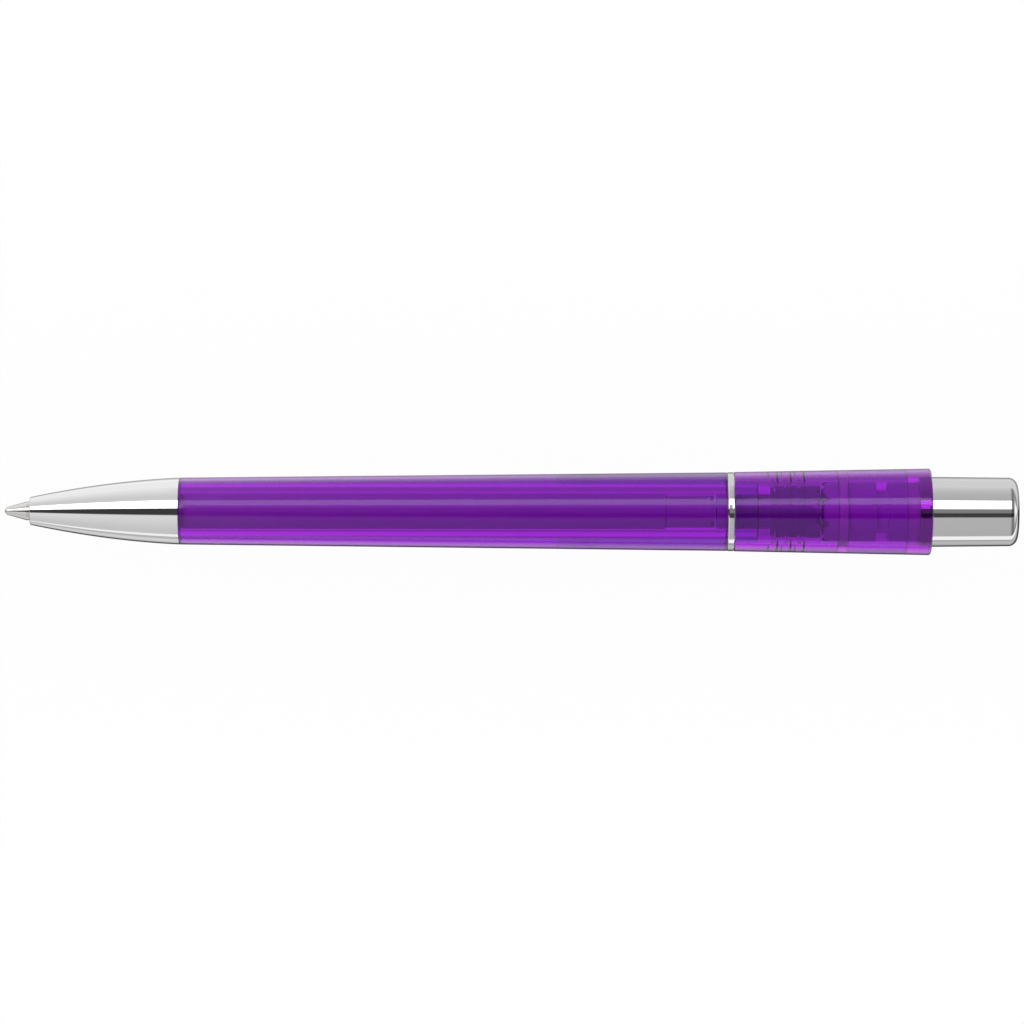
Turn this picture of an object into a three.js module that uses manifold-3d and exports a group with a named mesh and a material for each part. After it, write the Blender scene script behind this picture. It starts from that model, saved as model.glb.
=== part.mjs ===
// A pushbutton ballpoint pen with a clear purple barrel and a chrome nose, ring and button.
// Millimetres. The pen lies along X with its tip towards -X, its button towards +X and its clip underneath.
// A station is a distance along the pen, counted from the front of the writing ball.
import * as THREE from "three";
import { mergeVertices } from "three/addons/utils/BufferGeometryUtils.js";
import Module from "manifold-3d";

// Travel of the button and the refill
const PRESS = 1.4;
const RETRACT = 4.6;

// Clearances
const SEAM = 0.06;
const RUNNING_GAP = 0.15;
const END_GAP = 0.3;
const THREAD_GAP = 0.12;
const PRESS_GAP = 0.1;

// Lengths of the outer pieces
const TIP_PROUD = 3.5;
const NOSE_LENGTH = 20.7;
const FRONT_BARREL_LENGTH = 75.35;
const RING_WIDTH = 0.94;
const REAR_BARREL_LENGTH = 27.05;
const BUTTON_PROUD = 12;

// Outer radii
const NOSE_FRONT_RADIUS = 1.96;
const NOSE_REAR_RADIUS = 4.62;
const FRONT_BARREL_REAR_RADIUS = 5.42;
const RING_RADIUS = 5.44;
const REAR_BARREL_FRONT_RADIUS = 5.48;
const REAR_BARREL_REAR_RADIUS = 5.97;
const BUTTON_ROOT_RADIUS = 4.83;
const BUTTON_END_RADIUS = 4.73;

// Nose cone: its swell, its front rim and its spring seat
const NOSE_BELLY_FROM_REAR = 10.1;
const NOSE_BELLY_DROP = 0.45;
const NOSE_RIM_FILLET = 0.2;
const NOSE_LAND = 4.7;
const NOSE_TAPER_LENGTH = 3.8;

// Threaded spigot in front of the front barrel, which the nose screws onto
const SPIGOT_LENGTH = 4.8;
const SPIGOT_WALL = 0.6;
const THREAD_PITCH = 1.2;
const THREAD_DEPTH = 0.35;
const THREAD_ROOT_WIDTH = 0.7;
const THREAD_CREST_WIDTH = 0.3;
const THREAD_TURNS = 2.5;

// Refill
const BALL_RADIUS = 0.45;
const BALL_GAP = 0.03;
const BALL_PROUD = 0.25;
const SOCKET_LIP = 0.09;
const TIP_CONE_LENGTH = 3;
const TIP_RADIUS = 1.29;
const TIP_LENGTH = 10.5;
const TIP_TAIL_LENGTH = 2.6;
const TIP_TAIL_RADIUS = 0.95;
const INK_CHANNEL_RADIUS = 0.22;
const NECK_RADIUS = 1.5;
const NECK_LENGTH = 10.9;
const NECK_FLANGE = 1;
const NECK_TAIL_LENGTH = 4.2;
const TUBE_RADIUS = 2.45;
const TUBE_WALL = 0.4;
const CROWN_LENGTH = 6.7;
const CROWN_RADIUS = 2.25;
const CROWN_TAIL_LENGTH = 2.8;
const CROWN_NOTCH_DEPTH = 1.2;
const CROWN_NOTCH_WIDTH = 0.9;
const CROWN_NOTCHES = 4;
const AIR_SPACE = 19;

// Return spring
const WIRE_DIAMETER = 0.4;
const SPRING_COILS = 9;

// Front barrel's rear spigot with its three snap ridges, and the chamber for the cam
const REAR_SPIGOT_LENGTH = 12.9;
const REAR_SPIGOT_RADIUS = 4.25;
const RIDGE_COUNT = 3;
const RIDGE_PITCH = 1.85;
const RIDGE_FIRST = 5.9;
const RIDGE_WIDTH = 0.8;
const RIDGE_HEIGHT = 0.6;
const CAM_CHAMBER_LENGTH = 8.7;

// Click mechanism
const TOOTH_HEIGHT = 0.8;
const TOOTH_BASE = 2;
const TOOTH_COUNT = 8;
const RIB_COUNT = 4;
const RIB_WIDTH = 1.5;
const CAM_STEM_LENGTH = 7.3;
const CAM_RADIUS = 3;
const RIB_RADIUS = 3.6;
const GUIDE_LENGTH = 7.3;
const GUIDE_WALL = 0.35;
const GUIDE_COLLAR = 0.8;
const FLANGE_FROM_FRONT = 2.2;
const FLANGE_WIDTH = 1.1;
const FLANGE_HEIGHT = 0.7;

// Button, plunger and the rear barrel's rear end
const SKIRT_INSIDE = 1.7;
const BUTTON_FILLET = 1.25;
const BUTTON_END_WALL = 1.6;
const BUTTON_WALL = 0.65;
const PLUNGER_WALL = 1;
const REAR_RIM_FILLET = 0.3;

// Clip
const CLIP_LENGTH = 50.8;
const CLIP_FROM_REAR = 0.6;
const CLIP_WIDTH = 8;
const CLIP_TIP_WIDTH = 7.2;
const CLIP_CORNER = 1.8;
const CLIP_THICKNESS = 1.5;
const CLIP_GAP = 0.65;
const CLIP_NUB_FROM_TIP = 4.2;
const CLIP_NUB_RADIUS = 2.2;
const CLIP_EDGE = 0.35;
const CLIP_FOOT_LENGTH = 6;
const CLIP_FOOT_WIDTH = 3.2;
const CLIP_FOOT_FROM_END = 2.2;
const CLIP_FOOT_DEPTH = 0.75;
const CLIP_FOOT_GAP = 0.2;

// Facets of the round pieces
const OUTER_SIDES = 36;
const INNER_SIDES = 24;
const CURVE_STEPS = 10;
const FILLET_STEPS = 3;
const THREAD_STEPS = 20;
const SPRING_STEPS = 8;
const WIRE_SIDES = 5;

// Stations of the outer pieces
const noseFront = TIP_PROUD;
const noseRear = noseFront + NOSE_LENGTH;
const frontBarrelRear = noseRear + FRONT_BARREL_LENGTH;
const rearBarrelFront = frontBarrelRear + RING_WIDTH + 2 * SEAM;
const rearBarrelRear = rearBarrelFront + REAR_BARREL_LENGTH;
const buttonEnd = rearBarrelRear + BUTTON_PROUD;

// Radii that follow from what runs inside
const barrelBore = TUBE_RADIUS + RUNNING_GAP;
const noseHole = TIP_RADIUS + RUNNING_GAP;
const springInner = NECK_RADIUS + RUNNING_GAP;
const springMean = springInner + WIRE_DIAMETER / 2;
const springBore = springInner + WIRE_DIAMETER + RUNNING_GAP;
const tubeBore = TUBE_RADIUS - TUBE_WALL;
const spigotRadius = barrelBore + SPIGOT_WALL;
const ridgeRadius = REAR_SPIGOT_RADIUS + RIDGE_HEIGHT;
const slotRadius = RIB_RADIUS + RUNNING_GAP;
const chamberRadius = slotRadius + SEAM;
const guideRadius = slotRadius + GUIDE_WALL;
const rearBore = Math.max(REAR_SPIGOT_RADIUS, guideRadius) + RUNNING_GAP;
const flangeRadius = guideRadius + FLANGE_HEIGHT;
const skirtInner = BUTTON_ROOT_RADIUS - BUTTON_WALL;
const plungerHead = skirtInner - PRESS_GAP;
const skirtBore = BUTTON_ROOT_RADIUS + RUNNING_GAP;

// Stations of the refill and the spring
const springSeat = noseFront + NOSE_LAND;
const neckShoulder = TIP_LENGTH + NECK_LENGTH;
const tubeFront = neckShoulder + NECK_FLANGE;

// Stations of the click mechanism, from the end of the front barrel's spigot
const rearSpigotEnd = frontBarrelRear + REAR_SPIGOT_LENGTH;
const chamberFront = rearSpigotEnd - CAM_CHAMBER_LENGTH;
const guideFront = rearSpigotEnd + END_GAP;
const guideRear = guideFront + GUIDE_LENGTH;
const camToothTip = guideFront - END_GAP;
const camHeadFront = chamberFront + PRESS + END_GAP;
const camFront = camHeadFront - CAM_STEM_LENGTH;
const crownRear = camFront - END_GAP;
const crownFront = crownRear - CROWN_LENGTH;
const plungerToothTip = camToothTip + END_GAP;
const plungerTeethRear = plungerToothTip + TOOTH_HEIGHT;
const plungerRibRear = guideRear - GUIDE_COLLAR - END_GAP - RETRACT;
const plungerHeadFront = guideRear + PRESS + END_GAP;
const skirtFront = rearBarrelRear - SKIRT_INSIDE;
const skirtBoreFront = skirtFront - PRESS - END_GAP;
const plungerRear = buttonEnd - BUTTON_END_WALL - END_GAP;

// Clip, measured down from the pen's axis
const clipInner = REAR_BARREL_REAR_RADIUS + CLIP_GAP;
const clipOuter = clipInner + CLIP_THICKNESS;
const clipRear = rearBarrelRear - CLIP_FROM_REAR;
const clipFront = clipRear - CLIP_LENGTH;
const footRear = clipRear - CLIP_FOOT_FROM_END;
const footFront = footRear - CLIP_FOOT_LENGTH;

// The clip's nub is a curve that comes half way from the arm to its control point.
const barrelSlope = (FRONT_BARREL_REAR_RADIUS - NOSE_REAR_RADIUS) / FRONT_BARREL_LENGTH;
const nubStation = clipFront + CLIP_NUB_FROM_TIP;
const barrelAtNub = NOSE_REAR_RADIUS + barrelSlope * (nubStation - noseRear);
const nubControl = 2 * (clipInner - barrelAtNub - END_GAP) - clipInner;

// The spigot's thread starts one root width behind its front end
const spigotFront = noseRear - SPIGOT_LENGTH;
const threadFirst = spigotFront + THREAD_ROOT_WIDTH;

const wasm = await Module();
wasm.setup();

/** A closed three.js geometry as a manifold solid. */
function solidOf(geometry) {
  const plain = geometry.clone();
  plain.deleteAttribute("normal");
  plain.deleteAttribute("uv");
  const merged = mergeVertices(plain, 1e-4);
  return new wasm.Manifold(
    new wasm.Mesh({
      numProp: 3,
      vertProperties: merged.attributes.position.array,
      triVerts: Uint32Array.from(merged.index.array),
    }),
  );
}

/** A manifold solid as a three.js geometry. */
function geometryOf(solid) {
  const mesh = solid.getMesh();
  const geometry = new THREE.BufferGeometry();
  geometry.setAttribute("position", new THREE.BufferAttribute(mesh.vertProperties, 3));
  geometry.setIndex(new THREE.BufferAttribute(mesh.triVerts, 1));
  geometry.computeVertexNormals();
  return geometry;
}

/** A round piece about the pen's axis from [station, radius] points, given round its section. */
function turned(points, sides) {
  const closed = points[0][1] === 0 ? points : [...points, points[0]];
  const profile = closed.map(([station, radius]) => new THREE.Vector2(radius, station));
  return new THREE.LatheGeometry(profile, sides).rotateZ(-Math.PI / 2);
}

/** Points of a quarter round from one [station, radius] point to another, round the given centre. */
function quarterRound([station, radius], [centreStation, centreRadius], [endStation, endRadius]) {
  const start = Math.atan2(radius - centreRadius, station - centreStation);
  const end = Math.atan2(endRadius - centreRadius, endStation - centreStation);
  const reach = Math.hypot(radius - centreRadius, station - centreStation);
  return Array.from({ length: FILLET_STEPS + 1 }, (_, i) => {
    const angle = start + ((end - start) * i) / FILLET_STEPS;
    return [centreStation + reach * Math.cos(angle), centreRadius + reach * Math.sin(angle)];
  });
}

/** A block from front to rear station, between two heights above the axis, centred across it. */
function block(front, rear, width, low, high) {
  const box = new THREE.BoxGeometry(rear - front, width, high - low);
  return box.translate((front + rear) / 2, 0, (low + high) / 2);
}

/** Copies of a geometry placed evenly round the pen's axis, as solids. */
function around(geometry, count, turn = 0) {
  return Array.from({ length: count }, (_, i) =>
    solidOf(geometry.clone().rotateX(turn + (2 * Math.PI * i) / count)),
  );
}

/** A solid with every cutter taken away. */
function cutAll(solid, cutters) {
  return cutters.reduce((left, cutter) => left.subtract(cutter), solid);
}

/** A solid with every piece joined on. */
function joinAll(solid, pieces) {
  return pieces.reduce((whole, piece) => whole.add(piece), solid);
}

/**
 * A closed body swept along a path round the axis. Each ring is a list of [x, y, z] corners,
 * turning the same way as the path does, and the first and last rings are closed by fans.
 */
function loft(rings) {
  const corners = rings[0].length;
  const positions = rings.flat(2);
  const index = [];
  for (let ring = 0; ring < rings.length - 1; ring++) {
    for (let corner = 0; corner < corners; corner++) {
      const a = ring * corners + corner;
      const b = ring * corners + ((corner + 1) % corners);
      index.push(a, b, a + corners, b, b + corners, a + corners);
    }
  }
  const last = (rings.length - 1) * corners;
  for (let corner = 1; corner < corners - 1; corner++) {
    index.push(0, corner + 1, corner);
    index.push(last, last + corner, last + corner + 1);
  }
  const geometry = new THREE.BufferGeometry();
  geometry.setAttribute("position", new THREE.Float32BufferAttribute(positions, 3));
  geometry.setIndex(index);
  return geometry;
}

/** A helical screw ridge, from its first station, with a trapezoid section grown by a margin. */
function screwRidge(firstStation, turns, footRadius, crestRadius, margin) {
  const root = THREAD_ROOT_WIDTH / 2 + margin;
  const crest = THREAD_CREST_WIDTH / 2 + margin;
  const section = [
    [root, footRadius],
    [crest, crestRadius],
    [-crest, crestRadius],
    [-root, footRadius],
  ];
  const steps = Math.round(turns * THREAD_STEPS);
  const rings = Array.from({ length: steps + 1 }, (_, i) => {
    const along = (turns * i) / steps;
    const angle = 2 * Math.PI * (along + firstStation / THREAD_PITCH);
    return section.map(([offset, radius]) => [
      firstStation + THREAD_PITCH * along + offset,
      radius * Math.cos(angle),
      radius * Math.sin(angle),
    ]);
  });
  return loft(rings);
}

/** Radial notches with a V section that leave teeth on an end face. A positive way points to +X. */
function toothCutters(endStation, way, turn) {
  const mouth = endStation + way * END_GAP;
  const halfMouth = (TOOTH_BASE / 2) * (1 + END_GAP / TOOTH_HEIGHT);
  const notch = new THREE.Shape([
    new THREE.Vector2(endStation - way * TOOTH_HEIGHT, 0),
    new THREE.Vector2(mouth, way * halfMouth),
    new THREE.Vector2(mouth, -way * halfMouth),
  ]);
  const reach = RIB_RADIUS + END_GAP;
  const prism = new THREE.ExtrudeGeometry(notch, { depth: reach, bevelEnabled: false });
  return around(prism, TOOTH_COUNT, turn);
}

/** Points along the nose's outline, a quadratic curve from its front rim to its rear edge. */
function noseOutline() {
  const curve = new THREE.QuadraticBezierCurve(
    new THREE.Vector2(noseFront + NOSE_RIM_FILLET, NOSE_FRONT_RADIUS),
    new THREE.Vector2(noseRear - NOSE_BELLY_FROM_REAR, NOSE_REAR_RADIUS - NOSE_BELLY_DROP),
    new THREE.Vector2(noseRear - SEAM, NOSE_REAR_RADIUS),
  );
  return curve.getPoints(CURVE_STEPS).map((point) => [point.x, point.y]);
}

/** The chrome nose: a hollow cone with the spring's seat and, behind it, a threaded socket. */
function noseCone() {
  const rimStart = [noseFront, NOSE_FRONT_RADIUS - NOSE_RIM_FILLET];
  const rimCentre = [noseFront + NOSE_RIM_FILLET, NOSE_FRONT_RADIUS - NOSE_RIM_FILLET];
  const outline = noseOutline();
  const socketRadius = spigotRadius + THREAD_GAP;
  const shell = turned(
    [
      ...quarterRound(rimStart, rimCentre, outline[0]).slice(0, -1),
      ...outline,
      [noseRear - SEAM, socketRadius],
      [spigotFront - END_GAP, socketRadius],
      [spigotFront - END_GAP, barrelBore],
      [springSeat + NOSE_TAPER_LENGTH, barrelBore],
      [springSeat, springBore],
      [springSeat, noseHole],
      [noseFront, noseHole],
    ],
    OUTER_SIDES,
  );
  const openTurns = Math.ceil((noseRear - threadFirst) / THREAD_PITCH + 1);
  const groove = screwRidge(
    threadFirst - THREAD_PITCH / THREAD_STEPS,
    openTurns + 1 / THREAD_STEPS,
    spigotRadius - SEAM,
    spigotRadius + THREAD_DEPTH + THREAD_GAP,
    THREAD_GAP,
  );
  return geometryOf(solidOf(shell).subtract(solidOf(groove)));
}

/** The long purple barrel, with a threaded spigot in front and a ridged spigot behind. */
function frontBarrel() {
  const ridges = Array.from({ length: RIDGE_COUNT }, (_, i) => {
    const front = frontBarrelRear + RIDGE_FIRST + i * RIDGE_PITCH;
    const slope = RIDGE_WIDTH / 4;
    return [
      [front, REAR_SPIGOT_RADIUS],
      [front + slope, ridgeRadius],
      [front + RIDGE_WIDTH - slope, ridgeRadius],
      [front + RIDGE_WIDTH, REAR_SPIGOT_RADIUS],
    ];
  }).flat();
  const shell = turned(
    [
      [spigotFront, spigotRadius],
      [noseRear, spigotRadius],
      [noseRear, NOSE_REAR_RADIUS],
      [frontBarrelRear, FRONT_BARREL_REAR_RADIUS],
      [frontBarrelRear, REAR_SPIGOT_RADIUS],
      ...ridges,
      [rearSpigotEnd, REAR_SPIGOT_RADIUS],
      [rearSpigotEnd, chamberRadius],
      [chamberFront, chamberRadius],
      [chamberFront, barrelBore],
      [spigotFront, barrelBore],
    ],
    OUTER_SIDES,
  );
  const threadCrest = spigotRadius + THREAD_DEPTH;
  const thread = screwRidge(threadFirst, THREAD_TURNS, spigotRadius - SEAM, threadCrest, 0);
  return geometryOf(solidOf(shell).add(solidOf(thread)));
}

/** The chrome ring that parts the two barrels and sits round the front barrel's spigot. */
function middleRing() {
  const front = frontBarrelRear + SEAM;
  return turned(
    [
      [front, RING_RADIUS],
      [front + RING_WIDTH, RING_RADIUS],
      [front + RING_WIDTH, REAR_SPIGOT_RADIUS + RUNNING_GAP],
      [front, REAR_SPIGOT_RADIUS + RUNNING_GAP],
    ],
    OUTER_SIDES,
  );
}

/** The rear barrel: grooves for the spigot's ridges and the guide's flange, and the clip's pocket. */
function rearBarrel() {
  const groove = (front, rear, radius) => [
    [rear + RUNNING_GAP, rearBore],
    [rear + RUNNING_GAP, radius + RUNNING_GAP],
    [front - RUNNING_GAP, radius + RUNNING_GAP],
    [front - RUNNING_GAP, rearBore],
  ];
  const flangeFront = guideFront + FLANGE_FROM_FRONT;
  const ridgeGrooves = Array.from({ length: RIDGE_COUNT }, (_, i) => {
    const front = frontBarrelRear + RIDGE_FIRST + (RIDGE_COUNT - 1 - i) * RIDGE_PITCH;
    return groove(front, front + RIDGE_WIDTH, ridgeRadius);
  }).flat();
  const rimStart = [rearBarrelRear - REAR_RIM_FILLET, REAR_BARREL_REAR_RADIUS];
  const rimCentre = [rearBarrelRear - REAR_RIM_FILLET, REAR_BARREL_REAR_RADIUS - REAR_RIM_FILLET];
  const rimEnd = [rearBarrelRear, REAR_BARREL_REAR_RADIUS - REAR_RIM_FILLET];
  const shell = turned(
    [
      [rearBarrelFront, REAR_BARREL_FRONT_RADIUS],
      ...quarterRound(rimStart, rimCentre, rimEnd),
      [rearBarrelRear, skirtBore],
      [skirtBoreFront, skirtBore],
      [skirtBoreFront, rearBore],
      ...groove(flangeFront, flangeFront + FLANGE_WIDTH, flangeRadius),
      ...ridgeGrooves,
      [rearBarrelFront, rearBore],
    ],
    OUTER_SIDES,
  );
  const pocket = block(
    footFront - CLIP_FOOT_GAP,
    footRear + CLIP_FOOT_GAP,
    CLIP_FOOT_WIDTH + 2 * CLIP_FOOT_GAP,
    -clipInner,
    CLIP_FOOT_DEPTH + CLIP_FOOT_GAP - REAR_BARREL_REAR_RADIUS,
  );
  return geometryOf(solidOf(shell).subtract(solidOf(pocket)));
}

/** The clip: a flat spring arm with a foot in the rear barrel's pocket and a nub at its free end. */
function clip() {
  const side = new THREE.Shape();
  side.moveTo(clipFront + CLIP_THICKNESS, -clipOuter);
  side.lineTo(clipRear - CLIP_EDGE, -clipOuter);
  side.quadraticCurveTo(clipRear, -clipOuter, clipRear, CLIP_EDGE - clipOuter);
  side.lineTo(clipRear, -clipInner);
  side.lineTo(nubStation + CLIP_NUB_RADIUS, -clipInner);
  side.quadraticCurveTo(nubStation, nubControl, nubStation - CLIP_NUB_RADIUS, -clipInner);
  side.lineTo(clipFront, CLIP_EDGE - clipInner);
  side.quadraticCurveTo(clipFront, -clipOuter, clipFront + CLIP_THICKNESS, -clipOuter);
  const arm = new THREE.ExtrudeGeometry(side, {
    depth: CLIP_WIDTH,
    bevelEnabled: false,
    curveSegments: CURVE_STEPS / 2,
  });
  arm.rotateX(Math.PI / 2).translate(0, CLIP_WIDTH / 2, 0);
  const plan = new THREE.Shape();
  const tipHalf = CLIP_TIP_WIDTH / 2;
  plan.moveTo(clipFront + CLIP_CORNER, -tipHalf);
  plan.lineTo(clipRear + CLIP_EDGE, -CLIP_WIDTH / 2);
  plan.lineTo(clipRear + CLIP_EDGE, CLIP_WIDTH / 2);
  plan.lineTo(clipFront + CLIP_CORNER, tipHalf);
  plan.quadraticCurveTo(clipFront, tipHalf, clipFront, tipHalf - CLIP_CORNER);
  plan.lineTo(clipFront, CLIP_CORNER - tipHalf);
  plan.quadraticCurveTo(clipFront, -tipHalf, clipFront + CLIP_CORNER, -tipHalf);
  const outline = new THREE.ExtrudeGeometry(plan, {
    depth: 2 * clipOuter,
    bevelEnabled: false,
    curveSegments: CURVE_STEPS,
  });
  outline.translate(0, 0, -2 * clipOuter);
  const foot = block(
    footFront,
    footRear,
    CLIP_FOOT_WIDTH,
    -clipInner - CLIP_THICKNESS / 2,
    CLIP_FOOT_DEPTH - REAR_BARREL_REAR_RADIUS,
  );
  return geometryOf(solidOf(arm).intersect(solidOf(outline)).add(solidOf(foot)));
}

/** The writing ball. */
function writingBall() {
  return new THREE.SphereGeometry(BALL_RADIUS, 16, 10).translate(BALL_RADIUS, 0, 0);
}

/** The metal tip: a cone with the ball's socket, an ink channel and a tail in the neck. */
function refillTip() {
  const lipDepth = BALL_RADIUS - BALL_PROUD;
  const lipInner = Math.sqrt(BALL_RADIUS ** 2 - lipDepth ** 2) + BALL_GAP;
  const socket = BALL_RADIUS + BALL_GAP;
  const tail = TIP_LENGTH + TIP_TAIL_LENGTH;
  return turned(
    [
      [BALL_PROUD, lipInner + SOCKET_LIP],
      [TIP_CONE_LENGTH, TIP_RADIUS],
      [TIP_LENGTH - SEAM, TIP_RADIUS],
      [TIP_LENGTH - SEAM, TIP_TAIL_RADIUS],
      [tail, TIP_TAIL_RADIUS],
      [tail, INK_CHANNEL_RADIUS],
      [3 * BALL_RADIUS, INK_CHANNEL_RADIUS],
      [2 * BALL_RADIUS, socket],
      [BALL_RADIUS, socket],
      [BALL_PROUD, lipInner],
    ],
    INNER_SIDES,
  );
}

/** The refill's narrow neck, whose flange carries the spring, with a tail in the ink tube. */
function refillNeck() {
  const tailRadius = tubeBore - PRESS_GAP;
  const flange = TUBE_RADIUS;
  const bore = TIP_TAIL_RADIUS + PRESS_GAP;
  const tail = tubeFront + NECK_TAIL_LENGTH;
  return turned(
    [
      [TIP_LENGTH, NECK_RADIUS],
      [neckShoulder, NECK_RADIUS],
      [neckShoulder, flange],
      [tubeFront - SEAM, flange],
      [tubeFront - SEAM, tailRadius],
      [tail, tailRadius],
      [tail, bore],
      [TIP_LENGTH, bore],
    ],
    INNER_SIDES,
  );
}

/** The ink tube. */
function refillTube() {
  return turned(
    [
      [tubeFront, TUBE_RADIUS],
      [crownFront - SEAM, TUBE_RADIUS],
      [crownFront - SEAM, tubeBore],
      [tubeFront, tubeBore],
    ],
    INNER_SIDES,
  );
}

/** The ink that fills the tube's front part. */
function inkColumn() {
  const radius = tubeBore - PRESS_GAP;
  const front = tubeFront + NECK_TAIL_LENGTH + PRESS_GAP;
  const rear = crownFront - AIR_SPACE;
  return turned(
    [
      [front, 0],
      [front, radius],
      [rear, radius],
      [rear, 0],
    ],
    INNER_SIDES,
  );
}

/** The plug at the refill's rear end, notched like a crown, with an air hole along it. */
function refillCrown() {
  const tail = crownFront - CROWN_TAIL_LENGTH;
  const tailRadius = tubeBore - PRESS_GAP;
  const airHole = INK_CHANNEL_RADIUS * 3;
  const plug = turned(
    [
      [tail, tailRadius],
      [crownFront, tailRadius],
      [crownFront, CROWN_RADIUS],
      [crownRear, CROWN_RADIUS],
      [crownRear, airHole],
      [tail, airHole],
    ],
    INNER_SIDES,
  );
  const notch = block(
    crownRear - CROWN_NOTCH_DEPTH,
    crownRear + END_GAP,
    CROWN_NOTCH_WIDTH,
    airHole / 2,
    CROWN_RADIUS + END_GAP,
  );
  return geometryOf(cutAll(solidOf(plug), around(notch, CROWN_NOTCHES)));
}

/** Centre line of the return spring: a helix with straight ends of one wire diameter. */
function springPath() {
  const front = springSeat + WIRE_DIAMETER / 2 + PRESS_GAP;
  const rear = neckShoulder - WIRE_DIAMETER / 2 - PRESS_GAP;
  const steps = SPRING_COILS * SPRING_STEPS;
  const path = Array.from({ length: steps + 1 }, (_, i) => {
    const angle = (2 * Math.PI * i) / SPRING_STEPS;
    const station = front + ((rear - front) * i) / steps;
    return new THREE.Vector3(station, springMean * Math.cos(angle), springMean * Math.sin(angle));
  });
  const straight = new THREE.Vector3(0, 0, WIRE_DIAMETER);
  return [path[0].clone().sub(straight), ...path, path.at(-1).clone().add(straight)];
}

/** The return spring: one unbroken wire wound along its path. */
function returnSpring() {
  const path = springPath();
  const axis = new THREE.Vector3(1, 0, 0);
  const rings = path.map((point) => {
    const outward = new THREE.Vector3(0, point.y, point.z).normalize();
    return Array.from({ length: WIRE_SIDES }, (_, corner) => {
      const angle = (2 * Math.PI * corner) / WIRE_SIDES;
      const place = point.clone();
      place.addScaledVector(outward, (WIRE_DIAMETER / 2) * Math.sin(angle));
      place.addScaledVector(axis, (WIRE_DIAMETER / 2) * Math.cos(angle));
      return place.toArray();
    });
  });
  return loft(rings);
}

/** The least gap between the spring's coils, measured on its centre line. */
function leastSpringGap() {
  const path = springPath();
  let least = Infinity;
  for (let i = 0; i < path.length; i++) {
    for (let j = i + SPRING_STEPS - 1; j < path.length; j++) {
      least = Math.min(least, path[i].distanceTo(path[j]));
    }
  }
  return least - WIRE_DIAMETER;
}

/** Ribs that stand out of a round piece, running between two stations. */
function ribs(front, rear, footRadius) {
  return around(block(front, rear, RIB_WIDTH, footRadius - END_GAP, RIB_RADIUS), RIB_COUNT);
}

/** The cam: a stem that pushes on the refill and a head with four ribs and a toothed rear end. */
function rotatingCam() {
  const stemRadius = TUBE_RADIUS - SEAM;
  const body = turned(
    [
      [camFront, 0],
      [camFront, stemRadius],
      [camHeadFront, stemRadius],
      [camHeadFront, CAM_RADIUS],
      [camToothTip, CAM_RADIUS],
      [camToothTip, 0],
    ],
    INNER_SIDES,
  );
  const whole = joinAll(solidOf(body), ribs(camHeadFront, camToothTip, CAM_RADIUS));
  return geometryOf(cutAll(whole, toothCutters(camToothTip, 1, Math.PI / TOOTH_COUNT)));
}

/** The guide sleeve: slots for the ribs between rails, and a flange in the barrel's groove. */
function camGuide() {
  const railRadius = CAM_RADIUS + RUNNING_GAP;
  const flangeFront = guideFront + FLANGE_FROM_FRONT;
  const sleeve = turned(
    [
      [guideFront, guideRadius],
      [flangeFront, guideRadius],
      [flangeFront, flangeRadius],
      [flangeFront + FLANGE_WIDTH, flangeRadius],
      [flangeFront + FLANGE_WIDTH, guideRadius],
      [guideRear, guideRadius],
      [guideRear, railRadius],
      [guideFront, railRadius],
    ],
    OUTER_SIDES,
  );
  const slot = block(
    guideFront - END_GAP,
    guideRear - GUIDE_COLLAR,
    RIB_WIDTH + 2 * RUNNING_GAP,
    railRadius / 2,
    slotRadius,
  );
  const slotted = cutAll(solidOf(sleeve), around(slot, RIB_COUNT));
  const latches = toothCutters(guideFront, -1, Math.PI / TOOTH_COUNT);
  return geometryOf(cutAll(slotted, latches));
}

/** The plunger: a toothed tube in the guide that widens into the head inside the button. */
function plunger() {
  const tube = turned(
    [
      [plungerToothTip, CAM_RADIUS],
      [plungerHeadFront, CAM_RADIUS],
      [plungerHeadFront, plungerHead],
      [plungerRear, plungerHead],
      [plungerRear, CAM_RADIUS - PLUNGER_WALL],
      [plungerToothTip, CAM_RADIUS - PLUNGER_WALL],
    ],
    OUTER_SIDES,
  );
  const ribbed = joinAll(solidOf(tube), ribs(plungerTeethRear, plungerRibRear, CAM_RADIUS));
  return geometryOf(cutAll(ribbed, toothCutters(plungerToothTip, -1, 0)));
}

/** The chrome button: a long cap over the plunger's head, with a rounded end. */
function pushButton() {
  const filletStart = [buttonEnd - BUTTON_FILLET, BUTTON_END_RADIUS];
  const filletCentre = [buttonEnd - BUTTON_FILLET, BUTTON_END_RADIUS - BUTTON_FILLET];
  const filletEnd = [buttonEnd, BUTTON_END_RADIUS - BUTTON_FILLET];
  return turned(
    [
      [buttonEnd - BUTTON_END_WALL, 0],
      [buttonEnd - BUTTON_END_WALL, skirtInner],
      [skirtFront, skirtInner],
      [skirtFront, BUTTON_ROOT_RADIUS],
      [rearBarrelRear, BUTTON_ROOT_RADIUS],
      ...quarterRound(filletStart, filletCentre, filletEnd),
      [buttonEnd, 0],
    ],
    OUTER_SIDES,
  );
}

/** A finish for one piece. */
function finish(color, roughness, metalness, opacity = 1) {
  return new THREE.MeshStandardMaterial({
    color,
    roughness,
    metalness,
    opacity,
    transparent: opacity < 1,
  });
}

const chrome = () => finish(0xd6d8da, 0.08, 1);
const purple = () => finish(0x7a2bb0, 0.12, 0, 0.6);

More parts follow.
